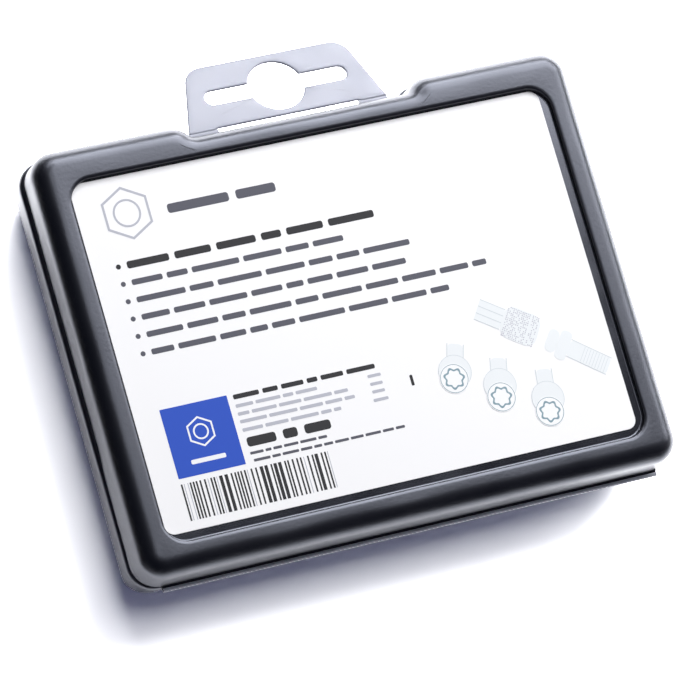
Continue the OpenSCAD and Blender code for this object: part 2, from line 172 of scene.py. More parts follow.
def waves(points, lengths, seed):
    """Gentle unevenness between -1 and 1: the mean of sine waves of these lengths, each with
    its own direction and phase, which the seed draws."""
    draw = np.random.default_rng(seed)
    total = np.zeros(points.shape[:-1])
    for length in lengths:
        direction = draw.normal(size=3)
        direction /= np.linalg.norm(direction)
        total += np.sin(points @ direction * 2 * np.pi / length + draw.uniform(0, 2 * np.pi))
    return total / len(lengths)


def hex_colour(text):
    """Linear RGBA from an sRGB hex value such as "1d1e22"."""
    value = np.array([int(text[i : i + 2], 16) for i in (0, 2, 4)]) / 255
    linear = np.where(value <= 0.04045, value / 12.92, ((value + 0.055) / 1.055) ** 2.4)
    return (*linear, 1.0)


def in_scene(name, data):
    """A new object of this data, linked into the scene."""
    thing = bpy.data.objects.new(name, data)
    bpy.context.scene.collection.objects.link(thing)
    return thing


def empty_tree(owner):
    """The node tree of a material or a world, emptied."""
    owner.use_nodes = True
    owner.node_tree.nodes.clear()
    return owner.node_tree


def add(tree, kind, settings=None, links=None):
    """Adds a node: settings go to its properties or to its inputs, links join inputs to outputs."""
    node = tree.nodes.new(kind)
    for name, value in (settings or {}).items():
        if hasattr(node, str(name)):
            setattr(node, name, value)
        else:
            node.inputs[name].default_value = value
    for name, output in (links or {}).items():
        tree.links.new(output, node.inputs[name])
    return node


def new_material(name, settings):
    """A material with one Principled shader. Returns the material, its tree and the shader."""
    material = bpy.data.materials.new(name)
    tree = empty_tree(material)
    shader = add(tree, "ShaderNodeBsdfPrincipled", settings)
    add(tree, "ShaderNodeOutputMaterial", links={"Surface": shader.outputs["BSDF"]})
    return material, tree, shader


def grain(tree, size):
    """Noise on object coordinates whose grains are about size millimetres wide."""
    place = add(tree, "ShaderNodeTexCoord")
    settings = {"Scale": 1 / (size * MM * 2), "Detail": 2.0, "Roughness": 0.55}
    noise = add(tree, "ShaderNodeTexNoise", settings, {"Vector": place.outputs["Object"]})
    return noise.outputs["Fac"]


def relief(tree, shader, pattern, height):
    """Bumps the shader by a pattern, height in millimetres."""
    settings = {"Distance": height * MM, "Strength": 1.0}
    bump = add(tree, "ShaderNodeBump", settings, {"Height": pattern})
    tree.links.new(bump.outputs["Normal"], shader.inputs["Normal"])


def spread(tree, pattern, low, high, reach=0.2):
    """A pattern spread from low to high, by its values up to reach from its middle."""
    settings = {"From Min": 0.5 - reach, "From Max": 0.5 + reach, "To Min": low, "To Max": high}
    return add(tree, "ShaderNodeMapRange", settings, {"Value": pattern}).outputs["Result"]


def grained(name, settings, bumps, gloss=None):
    """A material with a fine relief and an uneven gloss: bumps are the relief's grain size and
    height, gloss is its grain size and the lowest and the highest roughness."""
    material, tree, shader = new_material(name, settings)
    relief(tree, shader, grain(tree, bumps[0]), bumps[1])
    if gloss is not None:
        size, low, high = gloss
        tree.links.new(spread(tree, grain(tree, size), low, high), shader.inputs["Roughness"])
    return material


# Colour and clear gloss that all the case's polyethylene has
black_hdpe = hex_colour("0e0f14")
hdpe_gloss = {"IOR": 1.54, "Specular IOR Level": 1.0, "Specular Tint": (0.8, 0.84, 1.0, 1.0)}


def black_polyethylene():
    """Blow-moulded high-density polyethylene, filled black. The sand-blasted mould leaves a
    fine satin grain, drawn at 0.5 mm so that it shows, and cooling leaves the gloss uneven.
    The recess's floor lies against a polished insert of the mould and is smoother."""
    settings = {"Base Color": black_hdpe, **hdpe_gloss}
    material, tree, shader = new_material("blow-moulded black HDPE", settings)
    place = add(tree, "ShaderNodeTexCoord")
    axes = add(tree, "ShaderNodeSeparateXYZ", links={0: place.outputs["Object"]})
    insert = {"X": (0, recess_half_x), "Y": (recess_y, recess_half_y), "Z": (recess_z, 0.35)}
    polished = None
    for axis, (centre, reach) in insert.items():
        near = {"operation": "COMPARE", 1: centre * MM, 2: reach * MM}
        inside = add(tree, "ShaderNodeMath", near, {0: axes.outputs[axis]})
        if polished is not None:
            both = {0: polished, 1: inside.outputs[0]}
            inside = add(tree, "ShaderNodeMath", {"operation": "MULTIPLY"}, both)
        polished = inside.outputs[0]
    satin = add(tree, "ShaderNodeMapRange", {"To Min": 1.0, "To Max": 0.12}, {0: polished})
    both = {0: grain(tree, 0.5), 1: satin.outputs[0]}
    texture = add(tree, "ShaderNodeMath", {"operation": "MULTIPLY"}, both)
    relief(tree, shader, texture.outputs[0], 0.03)
    links = {0: polished, 2: spread(tree, grain(tree, 9), 0.31, 0.38)}
    rough = add(tree, "ShaderNodeMath", {"operation": "MULTIPLY_ADD", 1: -0.17}, links)
    tree.links.new(rough.outputs[0], shader.inputs["Roughness"])
    return material


def folded_polyethylene():
    """The same black HDPE rolled thin at the living hinge: glossier, with a painted highlight of pale
    colour along the fold, where the mesh's attribute says."""
    material, tree, shader = new_material("folded black HDPE", {"Roughness": 0.28, **hdpe_gloss})
    fold_highlight_paint = add(tree, "ShaderNodeAttribute", {"attribute_name": "fold_highlight_paint"})
    both = {0: fold_highlight_paint.outputs["Fac"], 1: spread(tree, grain(tree, 8), 0.75, 1.0, 0.15)}
    share = add(tree, "ShaderNodeMath", {"operation": "MULTIPLY"}, both)
    # The pale colour e8eaf4 is painted highlight along the fold, made uneven by a grain
    colours = {"data_type": "RGBA", 6: black_hdpe, 7: hex_colour("e8eaf4")}
    mix = add(tree, "ShaderNodeMix", colours, {0: share.outputs[0]})
    tree.links.new(mix.outputs[2], shader.inputs["Base Color"])
    relief(tree, shader, grain(tree, 3), 0.03)
    return material


def coated_card():
    """Bleached cardboard with a clay coating: white, smooth, with a weak sheen."""
    settings = {"Base Color": hex_colour("f4f4f6"), "IOR": 1.5, "Roughness": 0.42}
    return grained("coated white card", settings, (1.2, 0.004))


def printing_ink(name, colour):
    """Offset ink on the coated card: a flat colour with the card's own weak sheen."""
    settings = {"Base Color": hex_colour(colour), "IOR": 1.45, "Roughness": 0.6}
    return new_material(name, settings)[0]


def natural_polypropylene():
    """Natural polypropylene sheet, milky and satin. Light passes through it, and flow lines
    from extrusion leave it slightly cloudy, 6 mm apart."""
    settings = {"Base Color": hex_colour("9c9fae"), "IOR": 1.49, "Transmission Weight": 0.15}
    return grained("natural polypropylene sheet", settings, (6, 0.02), (6, 0.28, 0.4))


def zinc_flake_steel():
    """Cold-forged bolt steel with a baked zinc-flake coating: matt silver grey, fine flakes."""
    settings = {"Base Color": hex_colour("a3a8ae"), "Metallic": 1.0}
    return grained("zinc-flake coated bolt steel", settings, (0.3, 0.006), (2, 0.38, 0.52))


def phosphated_steel():
    """Turned and knurled steel with a dark manganese phosphate layer and a film of oil."""
    settings = {"Base Color": hex_colour("606469"), "Metallic": 1.0}
    return grained("phosphated tool steel", settings, (0.25, 0.008), (3, 0.32, 0.5))


def write_mesh(name, points, faces, material, body, sharp=40):
    """Makes an object from points in millimetres. Edges over sharp degrees stay
    crisp."""
    mesh = bpy.data.meshes.new(name)
    mesh.from_pydata((points.reshape(-1, 3) * MM).tolist(), [], faces)
    mesh.polygons.foreach_set("use_smooth", np.ones(len(mesh.polygons), bool))
    mesh.set_sharp_from_angle(angle=math.radians(sharp))
    mesh.materials.append(material)
    mesh.update()
    piece = in_scene(name, mesh)
    if body is not None:
        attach(piece, body)
    return piece


def tube_faces(rows, columns, close_rows=False):
    """Quads of a grid whose columns close into a ring; close_rows joins the last row to the first."""
    row = np.arange(rows if close_rows else rows - 1)[:, None]
    column = np.arange(columns)[None, :]
    after = (row + 1) % rows
    beside = (column + 1) % columns
    corners = (row * columns + column, row * columns + beside)
    corners += (after * columns + beside, after * columns + column)
    return np.stack(np.broadcast_arrays(*corners), 2).reshape(-1, 4).tolist()


def closed_tube(rows, columns):
    """Faces of a tube of rings with a flat face at each end."""
    count = rows * columns
    caps = [list(range(columns))[::-1], list(range(count - columns, count))]
    return tube_faces(rows, columns) + caps


def flipped(faces):
    """The same faces, looking the other way."""
    return [face[::-1] for face in faces]


def full_turn(count):
    """Equal steps of angle round a full turn."""
    return np.arange(count) * 2 * np.pi / count


def turned(rows, spokes):
    """Closed surface of revolution along +Z. Each row is (radius, height), either of which may
    change round the axis; the first and the last row close with a flat face."""
    angle = full_turn(spokes)
    radius = np.array([np.broadcast_to(r, spokes) for r, _ in rows])
    height = np.array([np.broadcast_to(z, spokes) for _, z in rows])
    points = np.stack([radius * np.cos(angle), radius * np.sin(angle), height], 2)
    return points, closed_tube(len(rows), spokes)


def carried(x, section):
    """Grid of points: a section of (y, z) carried along X."""
    y, z = np.array(section).T
    return np.stack(np.broadcast_arrays(x[:, None], y, z), 2)


# The case's shells: loops of points round the outline, joined from one loop to the next


def crowded(count, places, width, extra):
    """Steps from -1 to 1 that crowd round each place, extra times as close within its width."""
    line = np.linspace(-1, 1, 2001)
    density = 1 + sum(extra * np.exp(-(((line - place) / width) ** 2)) for place in places)
    total = np.cumsum(density)
    share = (total - total[0]) / (total[-1] - total[0])
    return np.interp(np.linspace(0, 1, count + 1), share, line)


def loop(half_x, half_y, radius, mid_y, layout):
    """Rounded rectangle as a closed loop: each side's steps, then its corner arc, from the
    front side round to the left one. Loops of one layout have matching points."""
    across, along, corner = layout
    flat_x, flat_y = half_x - radius, half_y - radius
    arc = np.linspace(0, np.pi / 2, 2 * corner + 1)[1:-1]
    sides = [
        np.stack([across * flat_x, np.full(len(across), -half_y)], 1),
        np.stack([np.full(len(along), half_x), along * flat_y], 1),
        np.stack([across[::-1] * flat_x, np.full(len(across), half_y)], 1),
        np.stack([np.full(len(along), -half_x), along[::-1] * flat_y], 1),
    ]
    centres = [(flat_x, -flat_y), (flat_x, flat_y), (-flat_x, flat_y), (-flat_x, -flat_y)]
    runs = []
    for turn, (side, centre) in enumerate(zip(sides, centres)):
        angle = arc + (turn - 1) * np.pi / 2
        runs += [side, np.array(centre) + radius * np.stack([np.cos(angle), np.sin(angle)], 1)]
    return np.concatenate(runs) + (0, mid_y)


def back_side(layout):
    """Where the back side's points lie in a loop."""
    across, along, corner = layout
    start = len(across) + len(along) + 2 * (2 * corner - 1)
    return slice(start, start + len(across))


def patch(half_x, half_y, radius, mid_y, layout):
    """Grid that fills a rounded rectangle and ends on its loop. In each corner the square cell
    (a, b) goes to (a sqrt(1 - b^2 / 2), b sqrt(1 - a^2 / 2)), which bends its edges to the arc."""
    across, along, corner = layout
    near = math.sqrt(2) * np.sin(np.linspace(0, np.pi / 4, corner + 1))[1:]
    beyond_x = np.concatenate([-near[::-1], np.zeros(len(across)), near])
    beyond_y = np.concatenate([-near[::-1], np.zeros(len(along)), near])
    core_x = np.pad(across, corner, mode="edge") * (half_x - radius)
    core_y = np.pad(along, corner, mode="edge") * (half_y - radius)
    a, b = np.meshgrid(beyond_x, beyond_y, indexing="ij")
    x = core_x[:, None] + radius * a * np.sqrt(1 - b * b / 2)
    y = mid_y + core_y[None, :] + radius * b * np.sqrt(1 - a * a / 2)
    return x, y


def patch_rim(rows, columns, corner):
    """Numbers of a patch's edge points, in the order of its loop."""
    number = np.arange(rows * columns).reshape(rows, columns)
    edge = [number[:-1, 0], number[-1, :-1], number[:0:-1, -1], number[0, :0:-1]]
    return np.roll(np.concatenate(edge), -corner)


def patch_faces(rows, columns, up):
    """Quads of a patch that look up, or down."""
    number = np.arange(rows * columns).reshape(rows, columns)
    corners = [number[:-1, :-1], number[1:, :-1], number[1:, 1:], number[:-1, 1:]]
    if not up:
        corners.reverse()
    return np.stack(corners, 2).reshape(-1, 4)


def ring(xy, z):
    """A loop at height z, which may change along it."""
    return np.column_stack([xy, np.broadcast_to(z, len(xy))])


def rings_of(outline, layout, steps):
    """The outline's loops at these steps, each an inset and a height."""
    return [ring(outline(inset, layout), z) for inset, z in steps]


def uneven(rings, first, last, seed):
    """Moves rings first to last along their normals by gentle waves, fading at both ends, as
    cooling leaves a blow-moulded wall."""
    height, lengths = 0.07, (23, 31, 47, 17)
    around = np.roll(rings, -1, 1) - np.roll(rings, 1, 1)
    onward = np.gradient(rings, axis=0)
    normal = np.cross(around, onward)
    normal /= np.linalg.norm(normal, axis=2, keepdims=True) + 1e-9
    number = np.arange(len(rings))
    share = smooth((number - first) / 2) * smooth((last - number) / 2)
    return rings + normal * (height * share[:, None] * waves(rings, lengths, seed))[..., None]


def join_shell(rings, layout, under=None, over=None):
    """Points and faces of a closed shell: a patch that looks down or a flat face, the rings
    from there outwards and up, and a patch that looks up or a flat face."""
    count, corner = rings.shape[1], layout[2]
    points, quads, flat, lines = [], [], [], []
    total = 0
    if under is not None:
        size = under.shape[:2]
        points.append(under.reshape(-1, 3))
        quads.append(patch_faces(*size, up=False))
        lines.append(patch_rim(*size, corner))
        total = size[0] * size[1]
    points.append(rings.reshape(-1, 3))
    lines += list(total + np.arange(len(rings) * count).reshape(-1, count))
    total += len(rings) * count
    if under is None:
        flat.append(lines[0][::-1].tolist())
    if over is None:
        flat.append(lines[-1].tolist())
    else:
        size = over.shape[:2]
        points.append(over.reshape(-1, 3))
        quads.append(total + patch_faces(*size, up=True))
        lines.append(total + patch_rim(*size, corner))
    for near, far in zip(lines, lines[1:]):
        quads.append(np.stack([near, np.roll(near, -1), np.roll(far, -1), far], 1))
    return np.concatenate(points), np.concatenate(quads).tolist() + flat


def arc_steps(from_deg, to_deg, count):
    """Angles of an arc in radians, both ends included."""
    return np.radians(np.linspace(from_deg, to_deg, count))


def arc_line(x, z, radius, from_deg, to_deg, count):
    """Places along an arc about (x, z), as pairs. Both may change along a loop."""
    angles = arc_steps(from_deg, to_deg, count)
    return [(x + radius * math.cos(a), z + radius * math.sin(a)) for a in angles]


def notch_line(x, inset):
    """Back outline at x, drawn in by inset: the straight side, a round shoulder, a hollow
    corner and the notch's floor. Shoulder and corner touch where both slope by 4 to 3."""
    x = np.abs(x)
    inset = inset * (1 - notch_squeeze * smooth((notch_out_x - x) / (notch_out_x - notch_in_x)))
    round_r = notch_out_r - inset
    hollow_r = notch_in_r + inset
    touch_x = notch_in_x + hollow_r * notch_slope_sin
    rounded = half_w - notch_out_r + np.sqrt(np.maximum(round_r**2 - (notch_out_x - x) ** 2, 0))
    hollow = notch_y + notch_in_r - np.sqrt(np.maximum(hollow_r**2 - (x - notch_in_x) ** 2, 0))
    conditions = [x >= notch_out_x, x >= touch_x, x >= notch_in_x]
    return np.select(conditions, [half_w - inset, rounded, hollow], notch_y - inset)


def lid_loop(inset, layout):
    """The lid's outline with its notch, drawn in by inset."""
    xy = loop(half_l - inset, half_w - inset, corner_r - inset, 0, layout)
    back = back_side(layout)
    xy[back, 1] = notch_line(xy[back, 0], inset)
    return xy


def base_loop(inset, layout, notch_inset=0.0):
    """The base's outline drawn in by inset. The notch cuts straight down into its flank, so
    the back side is the nearer of the flank and the notch, rounded where they meet."""
    xy = loop(half_l - inset, half_w - inset, corner_r - inset, 0, layout)
    back = back_side(layout)
    notch = notch_line(xy[back, 0], notch_inset)
    flank = xy[back, 1]
    blend_w = 0.8
    apart = np.abs(notch - flank)
    xy[back, 1] = np.minimum(notch, flank) - np.maximum(blend_w - apart, 0) ** 2 / (4 * blend_w)
    return xy


def base_edge_loop(inset, layout):
    """The base's outline at its top edge, where the notch draws in with the rest."""
    return base_loop(inset, layout, inset)


def seam_openness(edge):
    """1 where the seam round the case is open, with gentle waves. It closes to a crack along
    the front half of the left side, where the lid has sagged onto the base."""
    sag_from_y, sag_fade, front_gap, front_fade = -18, 14, 3, 5
    left_share, left_fade, closing, flutter = 0.8, 4, 0.7, 0.08
    left = smooth((-half_l * left_share - edge[:, 0]) / left_fade)
    in_front = smooth((sag_from_y - edge[:, 1]) / sag_fade)
    sagged = left * in_front * smooth((edge[:, 1] + half_w - front_gap) / front_fade)
    return 1 - closing * sagged + flutter * waves(edge, (9, 13, 5), 17)


def recess_loop(inset, layout):
    """The label recess drawn in by inset."""
    return loop(recess_half_x - inset, recess_half_y - inset, recess_r - inset, recess_y, layout)


def tray_size(inset):
    """Half sizes, corner radius and place of the tray, drawn in by inset."""
    return tray_half_x - inset, tray_half_y - inset, tray_r - inset, tray_y


def tray_loop(inset, layout):
    """The tray drawn in by inset."""
    return loop(*tray_size(inset), layout)


def lid_wall(openness, layout):
    """Rings up the lid's drafted wall. Its foot stands in from the base's edge where the seam
    is open, and comes out to it where the lid has sagged and along the front."""
    wall_x = lid_edge_x - lid_edge_r * math.cos(lid_draft)
    wall_h = lid_edge_z + lid_edge_r * math.sin(lid_draft) - parting_z
    start_h, open_in, sagged_in = 1.3, 0.9, 0.2
    front_w, front_fade = 7, 8
    rings = []
    for share in np.linspace(start_h / wall_h, 1, 6)[:-1]:
        z = parting_z + share * wall_h
        steps = [(foot + (wall_x - foot) * share, z) for foot in (open_in, sagged_in)]
        open_wall, sagged_wall = rings_of(lid_loop, layout, steps)
        behind = smooth((open_wall[:, 1] + half_w - front_w) / front_fade)
        gap = (smooth(openness) * behind)[:, None]
        rings.append(open_wall * gap + sagged_wall * (1 - gap))
    return rings


def recess_steps():
    """Insets and heights from the lid's rim into the label recess: a large round, a small one
    into the wall, the fillet at its foot and two steps over the floor."""
    rim_sin, rim_cos = math.sin(math.radians(rim_deg)), math.cos(math.radians(rim_deg))
    rim_w = rim_r * rim_sin + rim_foot_r * (1 - rim_sin)
    rim_foot_z = top_z - rim_r + (rim_r - rim_foot_r) * rim_cos
    wall_in, floor_ins = 0.1, (0.75, 1.2)
    foot_x, foot_z = wall_in + recess_foot_r, recess_z + recess_foot_r
    steps = arc_line(-rim_w, top_z - rim_r, rim_r, 90, 90 - rim_deg, 7)
    steps += arc_line(-rim_foot_r, rim_foot_z, rim_foot_r, 90 - rim_deg, 0, 4)[1:]
    steps += arc_line(foot_x, foot_z, recess_foot_r, 180, 270, 5)
    return steps + [(inset, recess_z) for inset in floor_ins]


def lid_shell(material):
    """The lid as one closed surface. Its rings run from the tray's ceiling down the tray's
    wall, out over the parting face, up the drafted wall, over the shoulder and into the recess."""
    rib_from_tip = 5
    rib_y = box_of("locking_bolt_1")[1][1] - rib_from_tip
    rib_at = (rib_y - tray_y) / (tray_half_y - tray_r)
    across = crowded(150, notch_at, notch_crowd_w, 1.5)
    layout = (across, crowded(120, (rib_at,), 0.09, 3), 8)
    fillet = 2
    wall = arc_line(fillet, ceiling_z - fillet, fillet, 100, 180, 5)
    wall += [(0, parting_z + chamfer), (-chamfer, parting_z)]
    rings = rings_of(tray_loop, layout, wall)
    openness = seam_openness(ring(lid_loop(0, layout), parting_z))
    foot_z = parting_z + seam_half * openness
    foot = [(seam_in, parting_z), (seam_in, foot_z), (lid_foot_in, foot_z)]
    rings += rings_of(lid_loop, layout, foot)
    first = len(rings)
    rings += lid_wall(openness, layout)
    edge_deg = 180 - math.degrees(lid_draft)
    shoulder = arc_line(lid_edge_x, lid_edge_z, lid_edge_r, edge_deg, 90, 14)
    rings += rings_of(lid_loop, layout, shoulder)
    last = len(rings) - 1
    rings += rings_of(recess_loop, layout, recess_steps())
    rings = uneven(np.array(rings), first, last, 5)
    x, y = patch(*tray_size(fillet), layout)
    rib_in, rib_fade, rib_roundness = 7, 1.5, 0.35
    rib = np.sqrt(np.maximum(1 - ((y - rib_y) / (rib_w / 2)) ** 2, 0))
    rib_end = smooth((tray_half_x - rib_in - np.abs(x)) / rib_fade)
    z = ceiling_z - (ceiling_z - rib_z) * rib**rib_roundness * rib_end
    points, faces = join_shell(rings, layout, under=np.stack([x, y, z], 2))
    piece = write_mesh("lid_shell", points, faces, material, "lid", sharp=60)
    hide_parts("case_lid")


def pocket(x, y, along, middle, radius, axis_z, ends, ground):
    """Ground with one moulded pocket for a lying cylinder, whose axis runs along X (0) or Y (1)
    between its ends, over middle on the other axis. The pocket is a rounded rectangle as wide
    as the cylinder, and its drafted wall runs from the deck to the cylinder's underside, by
    the distance to its edge."""
    plan_r, flare = 3.0, 1.3
    offset = (y, x)[along] - middle
    floor = axis_z - np.sqrt(np.maximum(radius**2 - offset**2, 0))
    half_run = (ends[1] - ends[0]) / 2 + flare / 2
    run = np.abs((x, y)[along] - sum(ends) / 2) - half_run + plan_r
    wide = np.abs(offset) - radius - flare / 2 + plan_r
    inside = np.minimum(np.maximum(run, wide), 0)
    distance = np.hypot(np.maximum(run, 0), np.maximum(wide, 0)) + inside - plan_r
    return np.minimum(ground, deck_z + (floor - deck_z) * smooth(-distance / flare))


def tray_floor(x, y):
    """Height of the base's tray: the deck with a pocket under each bolt and the key, a finger
    trough across the bolts' threads and a finger scoop at each end of the key."""
    z = np.full(x.shape, deck_z)
    overlap = 3
    for number in range(1, 5):
        low, high = box_of(f"locking_bolt_{number}")
        middle, axis_z = (low[0] + high[0]) / 2, (low[2] + high[2]) / 2 + pocket_gap
        collar_r = (high[0] - low[0]) / 2
        head_back = high[1] - shank_l
        head_ends = (low[1] - pocket_gap, head_back)
        shank_ends = (head_back - overlap, high[1] + pocket_gap)
        for radius, ends in ((collar_r, head_ends), (shank_r, shank_ends)):
            z = pocket(x, y, 1, middle, radius + pocket_gap, axis_z, ends, z)
    bolts_y = high[1]
    low, high = box_of("key_adapter")
    middle, axis_z = (low[1] + high[1]) / 2, (low[2] + high[2]) / 2 + pocket_gap
    sleeve_r, hexagon_r = (high[1] - low[1]) / 2, 9.8
    sleeve_end = low[0] + sleeve_l + pocket_gap
    sleeve_ends = (low[0] - pocket_gap, sleeve_end)
    hexagon_ends = (sleeve_end - overlap, high[0] + pocket_gap)
    for radius, ends in ((sleeve_r, sleeve_ends), (hexagon_r, hexagon_ends)):
        z = pocket(x, y, 0, middle, radius + pocket_gap, axis_z, ends, z)
    scoop_r, scoop_half_w, scoop_rise = 12, 9, 2
    scoop_ends = (middle - scoop_half_w, middle + scoop_half_w)
    for end_x in (low[0], high[0]):
        z = pocket(x, y, 1, end_x, scoop_r, deck_z + scoop_rise, scoop_ends, z)
    trough_y, trough_r, trough_z, trough_half_l = bolts_y - 17.6, 9, 15, 71
    return pocket(x, y, 0, trough_y, trough_r, trough_z, (-trough_half_l, trough_half_l), z)


def base_shell(material):
    """The base as one closed surface. Its rings run from the underside round the bottom radius,
    up the flank, over the parting face and the lip and down to the deck, which is a patch."""
    layout = (crowded(220, notch_at, notch_crowd_w, 1.0), np.linspace(-1, 1, 161), 9)
    flank_end = 180 + flank_deg
    side = arc_line(foot_in, bottom_r, bottom_r, 270, flank_end, 10)
    side += arc_line(flank_r, flank_z, flank_r, flank_end, 180, 9)[1:]
    rings = rings_of(base_loop, layout, side)
    last = len(rings) - 1
    edge = ring(base_loop(0, layout), parting_z)
    openness = seam_openness(edge)
    round_z = parting_z - seam_half * openness - base_edge_r
    rings[last][:, 2] = round_z
    edge_z = round_z + base_edge_r
    flash_h, flash_change = 0.12, 0.2
    flash = flash_h + flash_change * waves(edge, (7, 11, 17, 5), 11)
    flash = np.maximum(flash, 0) * openness
    steps = arc_line(base_edge_r, round_z, base_edge_r, 180, 90, 7)[1:]
    for inset, share in ((0.02, 1.0), (0.14, 1.0), (0.16, 0.0)):
        steps.append((base_edge_r + inset, edge_z + share * flash))
    slot_gap, slot_fade, slot_l = 0.4, 0.3, 12
    slot_half_w = (root_high[0] - root_low[0]) / 2 + slot_gap
    root = smooth((slot_half_w - np.abs(edge[:, 0] - tab_x)) / slot_fade)
    face_z = parting_z - (parting_z - root_low[2]) * root * (edge[:, 1] > notch_y - slot_l)
    steps += [(seam_in, np.minimum(edge_z, face_z - 0.05)), (seam_in, face_z)]
    rings += rings_of(base_edge_loop, layout, steps)
    rings += rings_of(tray_loop, layout, [(lip_gap, face_z)])
    stands = smooth((rings[-1][:, 1] - lip_start_y) / lip_start_l)
    lip_z, lip_edge, inner = parting_z + lip_h * stands, 0.5, lip_gap + lip_t
    rounding = ((0, lip_edge), (lip_edge / 3, lip_edge / 3), (lip_edge, 0))
    lip = [(lip_gap + inset, lip_z - drop * stands) for inset, drop in rounding]
    lip += [(inner - inset, lip_z - drop) for inset, drop in rounding[::-1]]
    lip += arc_line(inner + deck_fillet, deck_z + deck_fillet, deck_fillet, 180, 260, 4)
    rings += rings_of(tray_loop, layout, lip)
    rings = uneven(np.array(rings), 1, last, 7)
    x, y = patch(*tray_size(inner + deck_fillet), layout)
    points, faces = join_shell(rings, layout, over=np.stack([x, y, tray_floor(x, y)], 2))
    piece = write_mesh("base_shell", points, faces, material, "base", sharp=60)
    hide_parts("case_base")


def hinge_web(material):
    """The living hinge: a strip with a C-shaped section, from the base's wall round the fold to the
    lid's wall, with a small ridge between two grooves on top."""
    length, shift, outer_r, inner_r = 156, 1.5, 0.88, 0.3
    wall_y, fold_y = -half_w + 1.8, hinge_y + outer_r
    ridge_z, fold_steps = 1.1, 19
    grooves = ((0.15, ridge_z), (0, 0.55), (-0.2, 0.5), (-0.32, 0.82))
    section = [(wall_y, ridge_z)] + [(-half_w + inset, z) for inset, z in grooves]
    fold = slice(len(section), len(section) + fold_steps)
    section += arc_line(fold_y, 0, outer_r, 90, 270, fold_steps)
    section += [(wall_y, -outer_r), (wall_y, -inner_r)]
    section += arc_line(fold_y, 0, inner_r, 270, 90, fold_steps) + [(wall_y, inner_r)]
    x = shift + np.linspace(-length / 2, length / 2, 157)
    points = carried(x, section) + (0, 0, parting_z)
    points[..., 2] += 0.05 * waves(points, (9, 14, 23), 3)
    faces = flipped(closed_tube(len(x), len(section)))
    piece = write_mesh("hinge_web", points, faces, material, None, sharp=50)
    # Painted highlight: the share of pale colour at each point of the section, full on the flat top
    # before the fold and on the fold's upper part, fading out beyond the given angle
    crease = np.zeros(len(section))
    crease[fold.start - 1] = 1
    glint_to, glint_fade = 135, 30
    crease[fold] = 1 - smooth((np.linspace(90, 270, fold_steps) - glint_to) / glint_fade)
    fold_highlight_paint = piece.data.attributes.new("fold_highlight_paint", "FLOAT", "POINT")
    fold_highlight_paint.data.foreach_set("value", np.tile(crease, len(x)))
    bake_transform(piece)


# The hang tab and its crease


def tab_outline(angle):
    """Distance from the euro hole's middle to the tab's edge in each direction: the nearest of
    its straight edges, with both free corners rounded and the crease slot cut into its foot."""
    lean = math.atan((tab_w - tab_end_w) / 2 / tab_l)
    side_reach = (tab_w / 2 - math.tan(lean) * euro_y) * math.cos(lean)
    away = np.cos(angle), np.sin(angle)
    side = side_reach / np.maximum(np.abs(away[0]) * math.cos(lean) + away[1] * math.sin(lean), 1e-6)
    end = (tab_l - euro_y) / np.maximum(away[1], 1e-6)
    foot = (euro_y - crease_gap) / np.maximum(-away[1], 1e-6)
    slot = (euro_y - crease_slot_half_w) / np.maximum(-away[1], 1e-6)
    foot = np.where(np.abs(slot * away[0]) < crease_slot_l / 2, slot, foot)
    centre_y = tab_l - tab_corner_r - euro_y
    centre_x = tab_w / 2 - math.tan(lean) * (tab_l - tab_corner_r) - tab_corner_r / math.cos(lean)
    along = centre_x * np.abs(away[0]) + centre_y * away[1]
    gap = tab_corner_r**2 - (centre_x**2 + centre_y**2 - along**2)
    corner = along + np.sqrt(np.maximum(gap, 0))
    touch_x, touch_y = tab_corner_r * math.cos(lean), tab_corner_r * math.sin(lean)
    from_a = math.atan2(centre_y + touch_y, centre_x + touch_x)
    to_a = math.atan2(centre_y + tab_corner_r, centre_x)
    folded = np.arctan2(away[1], np.abs(away[0]))
    at_corner = (folded > from_a) & (folded < to_a)
    return np.where(at_corner, corner, np.minimum(np.minimum(side, end), foot))


def euro_outline(angle):
    """Distance from the euro hole's middle to its edge: the round middle or the slot beyond it,
    which ends in a half circle."""
    across, up = np.abs(np.cos(angle)), np.abs(np.sin(angle))
    end_x, end_r = (euro_l - euro_slot) / 2, euro_slot / 2
    straight = end_r / np.maximum(up, 1e-6)
    cap = end_x * across + np.sqrt(np.maximum(end_r**2 - (end_x * up) ** 2, 0))
    slot = np.where(straight * across <= end_x, straight, cap)
    return np.maximum(euro_r, slot)


def polar(reach, angle):
    """Points at these distances from the euro hole's middle."""
    return np.stack([reach * np.cos(angle), euro_y + reach * np.sin(angle)], 1)


def outward_of(line):
    """Unit vectors that look out of a closed anticlockwise line."""
    along = np.roll(line, -1, 0) - np.roll(line, 1, 0)
    outward = np.stack([along[:, 1], -along[:, 0]], 1)
    return outward / np.linalg.norm(outward, axis=1, keepdims=True)


